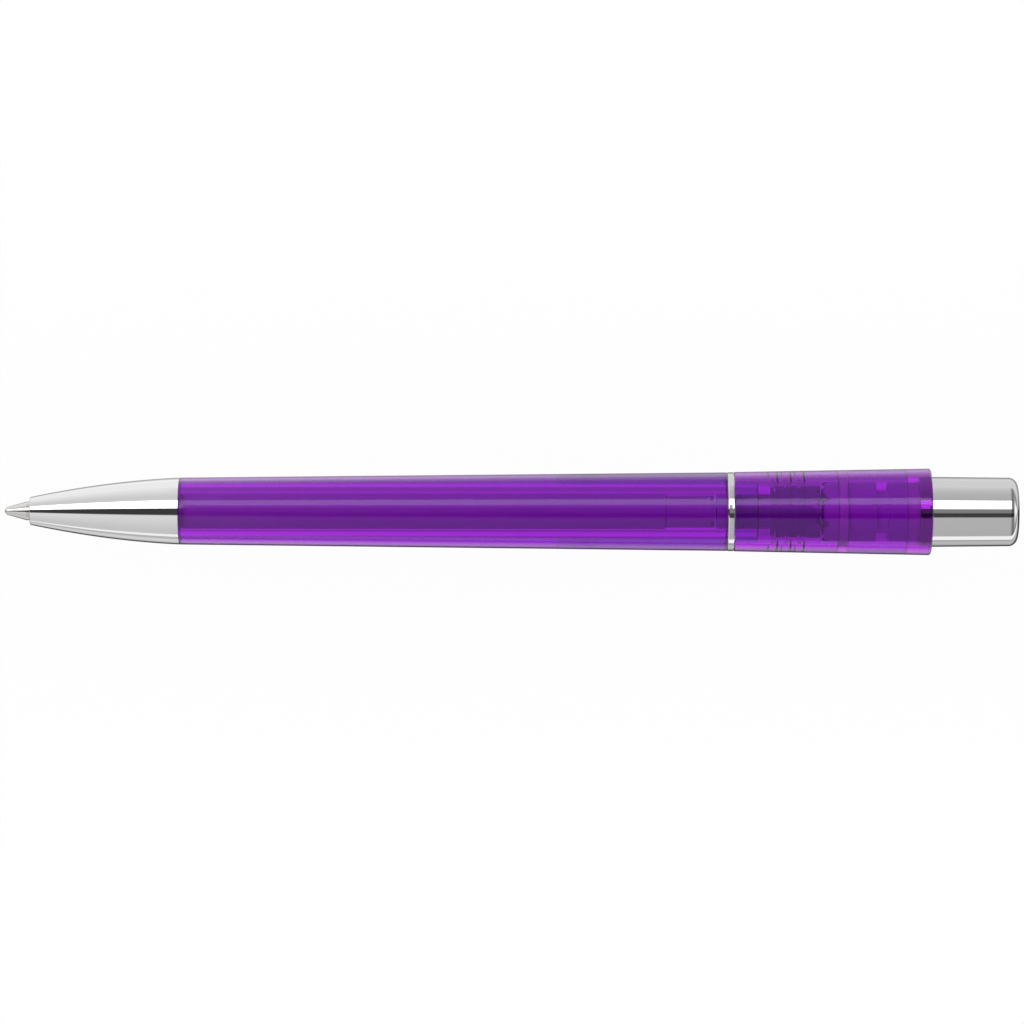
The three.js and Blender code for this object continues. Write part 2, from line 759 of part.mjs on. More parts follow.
const pieces = [
  ["writing_ball", writingBall(), finish(0x8c8e92, 0.15, 1)],
  ["refill_tip", refillTip(), finish(0xb9b7ae, 0.25, 1)],
  ["refill_neck", refillNeck(), finish(0xc8b27a, 0.3, 1)],
  ["refill_tube", refillTube(), finish(0xacb1b3, 0.6, 0)],
  ["ink_column", inkColumn(), finish(0x101a5c, 0.4, 0)],
  ["refill_crown", refillCrown(), finish(0xd8d8d4, 0.5, 0)],
  ["return_spring", returnSpring(), finish(0xa6a8ab, 0.3, 1)],
  ["nose_cone", noseCone(), chrome()],
  ["front_barrel", frontBarrel(), purple()],
  ["middle_ring", middleRing(), chrome()],
  ["rear_barrel", rearBarrel(), purple()],
  ["clip", clip(), purple()],
  ["rotating_cam", rotatingCam(), finish(0x5b2391, 0.4, 0)],
  ["cam_guide", camGuide(), finish(0x5b2391, 0.4, 0)],
  ["plunger", plunger(), purple()],
  ["push_button", pushButton(), chrome()],
];

const pen = new THREE.Group();
pen.name = "ballpoint_pen";
pen.position.set(-buttonEnd / 2, 0, clipOuter);
for (const [name, geometry, material] of pieces) {
  const mesh = new THREE.Mesh(geometry, material);
  mesh.name = name;
  pen.add(mesh);
}

console.log(`least gap between the spring's coils: ${leastSpringGap().toFixed(2)} mm`);

export default pen;
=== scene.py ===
"""A pushbutton ballpoint pen: clear purple barrel, chrome nose, ring and button, plastic clip underneath.

Sizes are in millimetres. A station is a distance along the pen, counted from the front of the writing ball.
The pen lies along X, with its tip towards -X. Round pieces are turned about its axis, where a turn of 0 is up.
"""

import math

import bmesh
import bpy
import numpy as np
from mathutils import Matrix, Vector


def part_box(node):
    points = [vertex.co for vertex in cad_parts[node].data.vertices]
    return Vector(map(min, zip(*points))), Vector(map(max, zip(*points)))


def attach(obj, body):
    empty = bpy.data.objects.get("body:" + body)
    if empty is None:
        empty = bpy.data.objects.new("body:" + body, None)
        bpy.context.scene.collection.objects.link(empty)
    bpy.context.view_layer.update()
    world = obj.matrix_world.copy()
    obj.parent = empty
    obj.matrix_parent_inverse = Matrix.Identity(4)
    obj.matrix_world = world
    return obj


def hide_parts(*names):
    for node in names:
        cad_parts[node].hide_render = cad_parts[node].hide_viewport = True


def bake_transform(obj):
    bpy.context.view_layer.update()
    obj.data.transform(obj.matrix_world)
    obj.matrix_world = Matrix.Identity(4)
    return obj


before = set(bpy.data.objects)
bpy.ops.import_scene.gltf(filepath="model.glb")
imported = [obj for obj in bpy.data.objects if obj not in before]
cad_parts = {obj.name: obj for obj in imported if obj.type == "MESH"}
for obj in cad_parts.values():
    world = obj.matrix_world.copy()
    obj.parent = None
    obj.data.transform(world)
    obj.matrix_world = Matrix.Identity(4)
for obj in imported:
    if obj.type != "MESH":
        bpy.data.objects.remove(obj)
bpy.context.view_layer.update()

MM = 0.001
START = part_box("writing_ball")[0].x
AXIS = (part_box("middle_ring")[0].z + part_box("middle_ring")[1].z) / 2

# Fineness of the meshes
SIDES = 192
INNER_SIDES = 128
CORNER_STEPS = 4
CURVE_STEPS = 48
THREAD_STEPS = 120
SOCKET_STEPS = 110
SHARP_ANGLE = math.radians(40)

# Rounding takes at most this share of a side. Long sides get a point this near to each end.
SHARE_OF_SIDE = 0.45
LONG_SIDE = 1
END_POINT = 0.05

# Sizes of small rounded edges
EDGE = 0.08
FINE_EDGE = 0.05
SLEEVE_EDGE = 0.06
RING_EDGE = 0.14

# Camera, from the photograph
VIEW_WIDTH = 141.3
VIEW_DISTANCE = 690
VIEW_CENTRE = (0.14, -0.08)
VIEW_ROLL = 0.0011
SENSOR = 36

# Studio: the floor lies below the clip's reach when it bends away. Its painted bands of light and shade end at a
# place in millimetres, while its size and the lamps' distance are in metres.
FLOOR_DROP = 2.8
FLOOR_BANDS = 50
FLOOR_SIZE = 3
LAMP_DISTANCE = 0.75
LAMP_RADIANCE = 1.7

# Clearances
SEAM = 0.06
RUNNING_GAP = 0.15
END_GAP = 0.3
THREAD_GAP = 0.12
PRESS_GAP = 0.1

# Nose
NOSE_BELLY_FROM_REAR = 10.1
NOSE_BELLY_DROP = 0.45
NOSE_FRONT_RADIUS = 1.96
NOSE_RIM = 0.2
NOSE_LAND = 4.7
NOSE_TAPER_LENGTH = 3.8
SPIGOT_WALL = 0.6
THREAD_PITCH = 1.2
THREAD_DEPTH = 0.35
THREAD_ROOT_WIDTH = 0.7
THREAD_CREST_WIDTH = 0.3
THREAD_TURNS = 2.5

# Refill
BALL_RADIUS = 0.45
BALL_GAP = 0.03
BALL_PROUD = 0.25
SOCKET_LIP = 0.09
TIP_CONE_LENGTH = 3
TIP_TAIL_RADIUS = 0.95
TIP_TAIL_LENGTH = 2.6
INK_CHANNEL_RADIUS = 0.22
NECK_RADIUS = 1.5
NECK_FLANGE = 1
NECK_TAIL_LENGTH = 4.2
TUBE_WALL = 0.4
CRIMP_DEPTH = 0.06
CRIMP_WIDTH = 1
CROWN_TAIL_LENGTH = 2.8
CROWN_NOTCH_COUNT = 4
CROWN_NOTCH_DEPTH = 0.5
CROWN_NOTCH_WIDTH = 0.9

# Return spring
WIRE_DIAMETER = 0.4
SPRING_COILS = 9
SPRING_EASE = 0.35
WIRE_STEPS = 40
WIRE_SIDES = 12

# Front barrel's spigot, its ridges and the cam's chamber
REAR_SPIGOT_LENGTH = 12.9
REAR_SPIGOT_RADIUS = 4.25
RIDGE_COUNT = 3
RIDGE_PITCH = 1.85
RIDGE_FIRST = 5.9
RIDGE_WIDTH = 0.8
RIDGE_HEIGHT = 0.2
RIDGE_SLOPE = 0.32
GROOVE_GAP = 0.05
GROOVE_SLOPE = 0.3
CAM_CHAMBER_LENGTH = 8.7
BARREL_UNDER_RING = 0.02
SLEEVE_OVER_RING = 0.04

# Click mechanism
TOOTH_HEIGHT = 0.8
TOOTH_BASE = 2
TOOTH_COUNT = 8
TOOTHED_LENGTH = 0.5
RIB_COUNT = 4
RIB_WIDTH = 1.5
RIB_RADIUS = 3.6
CAM_RADIUS = 3
CAM_STEM_LENGTH = 7.3
CAM_RIM = 1.2
CAM_TEETH_INNER = 0.6
CAM_TEETH_EVEN = 1.2
CAM_DIMPLE_RADIUS = 0.4
CAM_DIMPLE_DEPTH = 0.9
GUIDE_WALL = 0.35
GUIDE_COLLAR = 0.8
FLANGE_FROM_FRONT = 2.2
FLANGE_WIDTH = 1.1
PLUNGER_WALL = 1
PLUNGER_RIB_REAR_FROM_GUIDE = 5.7
PLUNGER_HEAD_FROM_GUIDE = 1.7

# Button and the rear barrel's rear end
BUTTON_END_RADIUS = 4.73
BUTTON_FILLET = 1.25
BUTTON_END_WALL = 1.6
BUTTON_WALL = 0.65
SKIRT_BORE_LENGTH = 3.4
# Share of the chrome's colour kept as painted shade where the button's cap lies inside the rear barrel
PAINTED_SHADE_LEVEL = 0.45
REAR_RIM = 0.3

# Clip
CLIP_TIP_WIDTH = 7.2
CLIP_CORNER = 1.8
CLIP_TIP_SLOPE = 4.5
CLIP_TIP_LIFT = 0.75
CLIP_THICKNESS = 1.5
CLIP_NUB_FROM_TIP = 4.2
CLIP_NUB_RADIUS = 2.2
CLIP_EDGE = 0.35
CLIP_CLOSE_TIP = 3
CLIP_CLOSE_TAIL = 0.6
CLIP_TAIL_ROUND = 0.4
CLIP_FOOT_LENGTH = 6
CLIP_FOOT_WIDTH = 3.2
CLIP_FOOT_FROM_END = 2.2
CLIP_FOOT_DEPTH = 0.75
CLIP_FOOT_GAP = 0.2
CLIP_FOOT_EDGE = 0.12
CLIP_FOOT_SUNK = 0.3
CLIP_TAIL_WIDTH = 0.95

# Radii that follow from what runs inside
tube_radius = 2.45
barrel_bore = tube_radius + RUNNING_GAP
tube_bore = tube_radius - TUBE_WALL
spigot_radius = barrel_bore + SPIGOT_WALL
slot_radius = RIB_RADIUS + RUNNING_GAP
chamber_radius = slot_radius + SEAM
guide_radius = slot_radius + GUIDE_WALL
rear_bore = max(REAR_SPIGOT_RADIUS, guide_radius) + RUNNING_GAP


def ends(node):
    """Front and rear stations of a CAD node."""
    low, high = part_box(node)
    return (low.x - START) / MM, (high.x - START) / MM


def girth(node):
    """Largest radius of a CAD node about the pen's axis."""
    low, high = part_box(node)
    return (high.y - low.y) / 2 / MM


def soften(profile, size):
    """Rounds every corner of a closed profile by a curve that leaves and joins its sides at most size away.

    The curve is the quadratic Bezier (1-t)^2 a + 2t(1-t) corner + t^2 b, with a and b on the two sides.
    """
    corner = np.array(profile, float)
    before, after = np.roll(corner, 1, 0) - corner, np.roll(corner, -1, 0) - corner
    t = np.linspace(0, 1, CORNER_STEPS + 1)[None, :, None]

    def leave(side):
        length = np.linalg.norm(side, axis=1, keepdims=True)
        return corner + side * np.minimum(size / length, SHARE_OF_SIDE)

    a, b = leave(before)[:, None], leave(after)[:, None]
    curve = (1 - t) ** 2 * a + 2 * t * (1 - t) * corner[:, None] + t**2 * b
    return curve.reshape(-1, 2)


def grid_mesh(name, points, close_rows):
    """A mesh on a grid of points, closed round its columns, and round its rows where close_rows says so."""
    rows, columns = points.shape[:2]
    index = np.arange(rows * columns).reshape(rows, columns)
    if close_rows:
        index = np.concatenate([index, index[:1]])
    index = np.concatenate([index, index[:, :1]], axis=1)
    faces = np.stack([index[:-1, :-1], index[:-1, 1:], index[1:, 1:], index[1:, :-1]], axis=-1)
    mesh = bpy.data.meshes.new(name)
    mesh.from_pydata(points.reshape(-1, 3).tolist(), [], faces.reshape(-1, 4).tolist())
    return mesh


def close_and_smooth(mesh):
    """Merges seams and poles, turns the faces outwards and shades smooth all but the sharp edges."""
    work = bmesh.new()
    work.from_mesh(mesh)
    bmesh.ops.remove_doubles(work, verts=work.verts, dist=1e-7)
    bmesh.ops.recalc_face_normals(work, faces=work.faces)
    work.to_mesh(mesh)
    work.free()
    mesh.shade_smooth()
    mesh.set_sharp_from_angle(angle=SHARP_ANGLE)
    return mesh


def supported(profile):
    """Adds a point just inside both ends of each long side, so that smooth shading keeps that side's own slope."""
    near = np.asarray(profile, float)
    side = np.roll(near, -1, 0) - near
    length = np.linalg.norm(side, axis=1)
    inset = side * (END_POINT / np.maximum(length, LONG_SIDE))[:, None]
    points = np.stack([near, near + inset, near + side - inset], axis=1)
    return points[np.stack([length >= 0, length > LONG_SIDE, length > LONG_SIDE], axis=1)]


def turned(name, profile, sides=SIDES, shape=None):
    """A closed profile of (station, radius) points carried round the pen's axis.

    At a turn t a point is (station, radius sin t, radius cos t). A shape may first change the station and the
    radius by an amount that depends on both and on the turn, as for teeth, ribs and threads.
    """
    points = supported(profile)
    turn = np.linspace(0, 2 * np.pi, sides, endpoint=False)
    station, radius, turn = np.broadcast_arrays(points[:, :1], points[:, 1:], turn[None])
    if shape:
        station, radius = shape(station, radius, turn)
    place = [START + station * MM, radius * MM * np.sin(turn), AXIS + radius * MM * np.cos(turn)]
    return close_and_smooth(grid_mesh(name, np.stack(place, axis=-1), True))


def piece(name, mesh, material, body=None, node=None):
    """Puts a mesh into the scene as a piece that rides on a body and may stand for a CAD node."""
    made = bpy.data.objects.new(name, mesh)
    bpy.context.scene.collection.objects.link(made)
    mesh.materials.append(material)
    if body:
        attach(made, body)
    if node:
        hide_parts(node)
    return made


def round_off(centre_station, centre_radius, size, start, end, steps=12):
    """Points of an arc in a profile, from one angle to another in degrees, where 0 points to the rear."""
    angle = np.radians(np.linspace(start, end, steps + 1))
    return np.stack([centre_station + size * np.cos(angle), centre_radius + size * np.sin(angle)], axis=1)


def nearest_of(count, turn, first=0.0):
    """Angle to the nearest of some marks spread evenly round the axis, in radians."""
    pitch = 2 * np.pi / count
    return (turn - first + pitch / 2) % pitch - pitch / 2


def thread_height(station, turn, first, last, grow=0.0):
    """Height of a trapezoid thread: a mark that runs one pitch along for each full turn, faded at both ends."""
    across = (station / THREAD_PITCH - 0.25 + turn / (2 * np.pi) + 0.5) % 1 - 0.5
    root, crest = THREAD_ROOT_WIDTH / 2 + grow, THREAD_CREST_WIDTH / 2 + grow
    flank = np.clip((root - np.abs(across * THREAD_PITCH)) / (root - crest), 0, 1)
    fade = np.clip((station - first + root) / root, 0, 1) * np.clip((last + root - station) / root, 0, 1)
    return flank * fade


def notch_depth(radius, turn, first):
    """Depth of V notches between teeth, which falls off with the distance from the middle of each notch."""
    across = np.abs(radius * np.sin(nearest_of(TOOTH_COUNT, turn, first)))
    return TOOTH_HEIGHT * np.clip(1 - across / (TOOTH_BASE / 2), 0, 1)


def on_rib(radius, turn, gap=0.0):
    """Whether a point lies on one of the ribs spread evenly round the axis, or within a gap beside them."""
    return np.abs(radius * np.sin(nearest_of(RIB_COUNT, turn))) < RIB_WIDTH / 2 + gap


# Materials

# Clear plastic: how glancing a view is where its third tint and its coat set in and are full
GLANCING_TINT = (1, 0.97, 0.98)
GLANCING = (0.38, 0.58)
COAT_GLANCING = (0.4, 0.58)
SKIN_EDGE = 0.05
CLEAR_IOR = 1.5
COAT_IOR = 2


def new_material(name):
    """An empty node material, with its node tree and its Principled shader."""
    material = bpy.data.materials.new(name)
    material.use_nodes = True
    return material, material.node_tree, material.node_tree.nodes["Principled BSDF"]


def feed(tree, node, values):
    """Gives a node's inputs their values, or links them to the outputs that stand for them."""
    for key, value in values.items():
        if isinstance(value, bpy.types.NodeSocket):
            tree.links.new(value, node.inputs[key])
        else:
            node.inputs[key].default_value = value


def add(tree, kind, values=None, **settings):
    """Adds a node with its settings, and feeds its inputs."""
    node = tree.nodes.new(kind)
    for key, value in settings.items():
        setattr(node, key, value)
    feed(tree, node, values or {})
    return node


def calculate(tree, operation, *values):
    """The result of a math node over numbers and outputs."""
    return add(tree, "ShaderNodeMath", dict(enumerate(values)), operation=operation).outputs[0]


def fade(tree, value, start, end, low=0, high=1):
    """Goes evenly from low to high as the value goes from start to end."""
    ends = {"Value": value, "From Min": start, "From Max": end, "To Min": low, "To Max": high}
    return add(tree, "ShaderNodeMapRange", ends).outputs["Result"]


def mix(tree, share, first, second, data_type="RGBA"):
    """The first value, with a share of the second."""
    values = {"Factor": share, "A": first, "B": second}
    return add(tree, "ShaderNodeMix", values, data_type=data_type).outputs["Result"]


def noise(tree, place, **values):
    """A soft noise from 0 to 1 over a place."""
    return add(tree, "ShaderNodeTexNoise", {"Vector": place, **values}).outputs["Fac"]


def object_place(tree):
    """The place of a point on its own object."""
    return add(tree, "ShaderNodeTexCoord").outputs["Object"]


def split(tree, place):
    """The parts X, Y and Z of a place."""
    return add(tree, "ShaderNodeSeparateXYZ", {0: place}).outputs


def new_group(name, inputs, outputs):
    """A node group with named float inputs, each with its usual value, and named float outputs."""
    tree = bpy.data.node_groups.new(name, "ShaderNodeTree")
    for socket, value in inputs.items():
        tree.interface.new_socket(socket, in_out="INPUT", socket_type="NodeSocketFloat").default_value = value
    for socket in outputs:
        tree.interface.new_socket(socket, in_out="OUTPUT", socket_type="NodeSocketFloat")
    return tree, add(tree, "NodeGroupInput").outputs, add(tree, "NodeGroupOutput")


def scratches_group():
    """Fine scratches from handling: two stretched noises that cross, cut to thin lines, and a soft smear."""
    usual = {"Base Roughness": 0.05, "Scratch Roughness": 0.1, "Smear": 0.03}
    tree, given, result = new_group("fine scratches", usual, ["Roughness", "Height"])
    place = object_place(tree)
    lines = []
    for turn, stretch in ((0.25, (150, 2600, 2600)), (-0.5, (260, 1900, 1900))):
        stretched = {"Vector": place, "Rotation": (turn, turn / 2, turn), "Scale": stretch}
        mapping = add(tree, "ShaderNodeMapping", stretched)
        streaks = noise(tree, mapping.outputs["Vector"], Scale=1, Detail=2, Roughness=0.6)
        lines.append(fade(tree, streaks, 0.66, 0.78))
    both = calculate(tree, "MAXIMUM", *lines)
    cloud = noise(tree, place, Scale=220, Detail=3)
    smear = calculate(tree, "MULTIPLY_ADD", cloud, given["Smear"], given["Base Roughness"])
    rough = calculate(tree, "MULTIPLY_ADD", both, given["Scratch Roughness"], smear)
    feed(tree, result, {"Roughness": rough, "Height": calculate(tree, "SUBTRACT", 1, both)})
    return tree


def turning_group():
    """Turning marks: fine rings along the pen's length, uneven in depth."""
    tree, given, result = new_group("turning marks", {"Rings per mm": 6.0}, ["Height"])
    x = split(tree, object_place(tree))["X"]
    per_metre = calculate(tree, "MULTIPLY", given["Rings per mm"], 2 * math.pi / MM)
    wave = calculate(tree, "SINE", calculate(tree, "MULTIPLY", x, per_metre))
    along = add(tree, "ShaderNodeCombineXYZ", {"X": x}).outputs[0]
    feed(tree, result, {"Height": calculate(tree, "MULTIPLY", wave, noise(tree, along, Scale=3500, Detail=3))})
    return tree


def moulding_group():
    """Moulded plastic: the slow waviness of the surface and a slight mottle."""
    tree, given, result = new_group("moulded surface", {"Wave Scale": 180.0}, ["Height", "Mottle"])
    place = object_place(tree)
    wave = noise(tree, place, Scale=given["Wave Scale"], Detail=1)
    feed(tree, result, {"Height": wave, "Mottle": noise(tree, place, Scale=900, Detail=4)})
    return tree


scratches = scratches_group()
turning = turning_group()
moulding = moulding_group()


def place_group(tree, group, **values):
    """The outputs of a group node with its own values."""
    named = {key.replace("_", " "): value for key, value in values.items()}
    return add(tree, "ShaderNodeGroup", named, node_tree=group).outputs


def bump(tree, height, strength, distance):
    """The surface's direction over a height."""
    values = {"Height": height, "Strength": strength, "Distance": distance}
    return add(tree, "ShaderNodeBump", values).outputs["Normal"]


def clear_plastic(name, absorbed, density, skin, outside, inside):
    """Clear dyed plastic: it refracts at its faces and takes its colour from the depth of plastic passed.

    Faces further from the axis than the skin radius have one tint and the faces within have another. The dye lets
    more red through on long ways, which show at glancing views, so both give way there to a third tint. A glossier
    coat shows only at glancing views as well, and only outside.
    """
    material, tree, shader = new_material(name)
    facing = add(tree, "ShaderNodeLayerWeight", {"Blend": 0.5}).outputs["Facing"]
    from_axis = {0: object_place(tree), 1: (0, 0, AXIS)}
    across = add(tree, "ShaderNodeVectorMath", from_axis, operation="SUBTRACT").outputs["Vector"]
    flat = add(tree, "ShaderNodeVectorMath", {0: across, 1: (0, 1, 1)}, operation="MULTIPLY").outputs["Vector"]
    radius = add(tree, "ShaderNodeVectorMath", {0: flat}, operation="LENGTH").outputs["Value"]
    outer = fade(tree, radius, (skin - SKIN_EDGE) * MM, (skin + SKIN_EDGE) * MM)
    face = mix(tree, outer, (*inside, 1), (*outside, 1))
    worn = place_group(tree, scratches, Base_Roughness=0.012, Scratch_Roughness=0.1, Smear=0.01)
    moulded = place_group(tree, moulding)
    values = {
        "Base Color": mix(tree, fade(tree, facing, *GLANCING), face, (*GLANCING_TINT, 1)),
        "Transmission Weight": 1,
        "IOR": CLEAR_IOR,
        "Coat Weight": calculate(tree, "MULTIPLY", fade(tree, facing, *COAT_GLANCING), outer),
        "Coat IOR": COAT_IOR,
        "Coat Roughness": 0.05,
        "Roughness": worn["Roughness"],
        "Normal": bump(tree, moulded["Height"], strength=0.008, distance=0.02 * MM),
    }
    feed(tree, shader, values)
    dye = add(tree, "ShaderNodeVolumeAbsorption", {"Color": (*absorbed, 1), "Density": density})
    feed(tree, tree.nodes["Material Output"], {"Volume": dye.outputs["Volume"]})
    return material


def solid_plastic(name, colour, deep, roughness):
    """Opaque moulded plastic with a mottle between two near shades."""
    material, tree, shader = new_material(name)
    moulded = place_group(tree, moulding)
    shade = mix(tree, moulded["Mottle"], (*deep, 1), (*colour, 1))
    worn = place_group(tree, scratches, Base_Roughness=roughness, Scratch_Roughness=0.15, Smear=0.08)
    normal = bump(tree, moulded["Height"], strength=0.2, distance=0.03 * MM)
    feed(tree, shader, {"Base Color": shade, "Roughness": worn["Roughness"], "Normal": normal})
    return material


def metal(name, colour, roughness, smear, rings, depth, shaded_until=None):
    """Metal with turning marks and fine scratches, and with painted shade, a darker colour, in front of a place
    along X.
    """
    material, tree, shader = new_material(name)
    feed(tree, shader, {"Base Color": (*colour, 1), "Metallic": 1})
    # Painted shade: the colour is darker in front of the given place along X
    if shaded_until is not None:
        painted_shade = fade(tree, split(tree, object_place(tree))["X"], shaded_until - 0.1 * MM, shaded_until, PAINTED_SHADE_LEVEL)
        tint = add(tree, "ShaderNodeVectorMath", {0: colour, "Scale": painted_shade}, operation="SCALE")
        feed(tree, shader, {"Base Color": tint.outputs["Vector"]})
    worn = place_group(tree, scratches, Base_Roughness=roughness, Scratch_Roughness=0.12, Smear=smear)
    marks = place_group(tree, turning, Rings_per_mm=rings)
    normal = bump(tree, marks["Height"], strength=depth, distance=0.01 * MM)
    feed(tree, shader, {"Roughness": worn["Roughness"], "Normal": normal})
    return material


purple = clear_plastic(
    "clear purple plastic", (0.905, 0.2, 0.956), 1000, 4.45, outside=(0.69, 0.97, 0.99), inside=(0.94, 0.97, 0.99)
)
dense_purple = clear_plastic(
    "deep purple plastic", (0.92, 0.1, 0.965), 2200, 5.2, outside=(0.73, 0.95, 1), inside=(0.97, 0.97, 1)
)
clip_purple = clear_plastic(
    "clip plastic", (0.93, 0.2, 0.93), 1000, 1, outside=(0.9, 0.97, 0.98), inside=(0.9, 0.97, 0.98)
)
violet = solid_plastic("violet plastic", (0.94, 0.48, 1), (0.88, 0.42, 0.97), roughness=0.45)
pale_tube = solid_plastic("pale tube plastic", (0.92, 0.8, 0.97), (0.87, 0.75, 0.93), roughness=0.5)
white_plug = solid_plastic("pale plug plastic", (0.92, 0.84, 0.95), (0.86, 0.78, 0.9), roughness=0.4)
bright = {"colour": (0.9, 0.9, 0.91), "roughness": 0.03, "smear": 0.02, "rings": 3, "depth": 0.02}
chrome = metal("bright chrome", **bright)
# The button's chrome has painted shade in front of the rear barrel's rear end, where it lies inside the barrel
cap_chrome = metal("bright chrome of the button", **bright, shaded_until=START + ends("rear_barrel")[1] * MM)
nickel = metal("turned nickel silver", (0.8, 0.785, 0.76), roughness=0.08, smear=0.05, rings=9, depth=0.1)
brass = metal("turned brass", (0.75, 0.6, 0.3), roughness=0.22, smear=0.06, rings=6, depth=0.12)
wire = metal("spring wire", (0.6, 0.61, 0.63), roughness=0.25, smear=0.06, rings=5, depth=0.05)
ink = solid_plastic("ink", (0.02, 0.03, 0.2), (0.01, 0.015, 0.12), roughness=0.3)


# Chrome nose

nose_front, nose_back = ends("nose_cone")
nose_rear = nose_back + SEAM
nose_rear_radius = girth("nose_cone")
spigot_front = ends("front_barrel")[0]
thread_first = spigot_front + THREAD_ROOT_WIDTH
thread_last = thread_first + THREAD_PITCH * THREAD_TURNS


def nose_outline():
    """The nose's outline: a quadratic Bezier curve from its front rim over its belly to its rear edge."""
    t = np.linspace(0, 1, CURVE_STEPS + 1)[:, None]
    front = np.array([nose_front + NOSE_RIM, NOSE_FRONT_RADIUS])
    belly = np.array([nose_rear - NOSE_BELLY_FROM_REAR, nose_rear_radius - NOSE_BELLY_DROP])
    rear = np.array([nose_rear - SEAM, nose_rear_radius])
    return (1 - t) ** 2 * front + 2 * t * (1 - t) * belly + t**2 * rear


def nose_cone():
    """The nose shell: outline, threaded socket and the bore with the spring's seat."""
    seat = nose_front + NOSE_LAND
    hole = girth("refill_tip") + RUNNING_GAP
    spring_bore = NECK_RADIUS + WIRE_DIAMETER + 2 * RUNNING_GAP
    outline = nose_outline()
    rim = round_off(nose_front + NOSE_RIM, NOSE_FRONT_RADIUS - NOSE_RIM, NOSE_RIM, 180, 90, 8)[:-1]
    socket_radius = spigot_radius + THREAD_GAP
    socket_end = spigot_front - END_GAP
    socket = np.linspace(nose_back - 0.1, socket_end + 0.1, SOCKET_STEPS)
    profile = np.concatenate(
        [
            rim,
            outline[:-1],
            [[nose_back - 0.04, nose_rear_radius]],
            [[nose_back, nose_rear_radius - 0.05]],
            [[nose_back, socket_radius + 0.1]],
            np.stack([socket, np.full_like(socket, socket_radius)], axis=1),
            [[socket_end, socket_radius], [socket_end, barrel_bore], [seat + NOSE_TAPER_LENGTH, barrel_bore]],
            [[seat, spring_bore], [seat, hole], [nose_front + 0.1, hole], [nose_front, hole + 0.1]],
        ]
    )

    def thread(station, radius, turn):
        in_socket = (np.abs(radius - socket_radius) < 1e-6) & (station > socket_end + 0.05)
        groove = THREAD_DEPTH * thread_height(station, turn, thread_first, nose_rear + THREAD_PITCH, THREAD_GAP)
        return station, radius + np.where(in_socket, groove, 0)

    mesh = turned("nose_shell", profile, shape=thread)
    return piece("nose_shell", mesh, chrome, "nose", "nose_cone")


nose_cone()

# Refill

tip_radius = girth("refill_tip")
tube_front, tube_rear = ends("refill_tube")
neck_front = ends("refill_neck")[0]
neck_shoulder = tube_front - NECK_FLANGE


def writing_ball():
    """The writing ball: a half circle carried round the axis."""
    arc = round_off(BALL_RADIUS, 0, BALL_RADIUS, 180, 0, 24)
    return piece("ball", turned("ball", arc, 64), nickel, "ball", "writing_ball")


def metal_tip():
    """The metal tip: cone, cylinder with a turned groove, tail and ink channel."""
    rear = neck_front - SEAM
    tail = rear + SEAM + TIP_TAIL_LENGTH
    socket = BALL_RADIUS + BALL_GAP
    lip = math.sqrt(BALL_RADIUS**2 - (BALL_RADIUS - BALL_PROUD) ** 2) + BALL_GAP
    front = np.array(
        [
            [BALL_PROUD, lip + SOCKET_LIP],
            [TIP_CONE_LENGTH, tip_radius],
            [rear, tip_radius],
            [rear, TIP_TAIL_RADIUS],
            [tail, TIP_TAIL_RADIUS],
            [tail, INK_CHANNEL_RADIUS],
            [3 * BALL_RADIUS, INK_CHANNEL_RADIUS],
            [2 * BALL_RADIUS, socket],
            [BALL_RADIUS, socket],
            [BALL_PROUD, lip],
        ]
    )
    mesh = turned("metal_tip", soften(front, FINE_EDGE), INNER_SIDES)
    return piece("metal_tip", mesh, nickel, "refill", "refill_tip")


def neck():
    """The brass neck with the flange that carries the spring."""
    bore = TIP_TAIL_RADIUS + PRESS_GAP
    tail_radius = tube_bore - PRESS_GAP
    tail = tube_front + NECK_TAIL_LENGTH
    profile = [
        [neck_front, NECK_RADIUS],
        [neck_shoulder, NECK_RADIUS],
        [neck_shoulder, tube_radius],
        [tube_front - SEAM, tube_radius],
        [tube_front - SEAM, tail_radius],
        [tail, tail_radius],
        [tail, bore],
        [neck_front, bore],
    ]
    mesh = turned("neck", soften(profile, EDGE), INNER_SIDES)
    return piece("neck", mesh, brass, "refill", "refill_neck")


def ink_tube():
    """The refill's tube, with a shallow crimp round the neck's tail."""
    crimp = tube_front + NECK_TAIL_LENGTH / 2
    bend = np.linspace(-0.5, 0.5, 13)
    depth = CRIMP_DEPTH * (1 + np.cos(2 * np.pi * bend)) / 2
    waist = np.stack([crimp + CRIMP_WIDTH * bend, tube_radius - depth], axis=1)
    profile = np.concatenate(
        [
            [[tube_front, tube_radius - 0.05], [tube_front + 0.05, tube_radius]],
            waist,
            [[tube_rear - 0.05, tube_radius], [tube_rear, tube_radius - 0.05]],
            [[tube_rear, tube_bore], [tube_front, tube_bore]],
        ]
    )
    mesh = turned("ink_tube", profile, INNER_SIDES)
    return piece("ink_tube", mesh, pale_tube, "refill", "refill_tube")


def crown():
    """The plug in the refill's rear end, with four notches in its end and an air hole along it."""
    tail, rear = ends("refill_crown")
    front = tail + CROWN_TAIL_LENGTH
    radius = girth("refill_crown")
    hole = INK_CHANNEL_RADIUS * 3
    profile = [
        [tail, tube_bore - PRESS_GAP],
        [front, tube_bore - PRESS_GAP],
        [front, radius],
        [rear, radius],
        [rear, hole],
        [tail, hole],
    ]

    def notched(station, radius, turn):
        across = np.abs(radius * np.sin(nearest_of(CROWN_NOTCH_COUNT, turn, np.pi / CROWN_NOTCH_COUNT)))
        in_notch = (across < CROWN_NOTCH_WIDTH / 2) & (station > rear - CROWN_NOTCH_DEPTH / 2)
        return np.where(in_notch, station - CROWN_NOTCH_DEPTH, station), radius

    mesh = turned("crown", soften(profile, EDGE), INNER_SIDES, notched)
    return piece("crown", mesh, white_plug, "refill", "refill_crown")


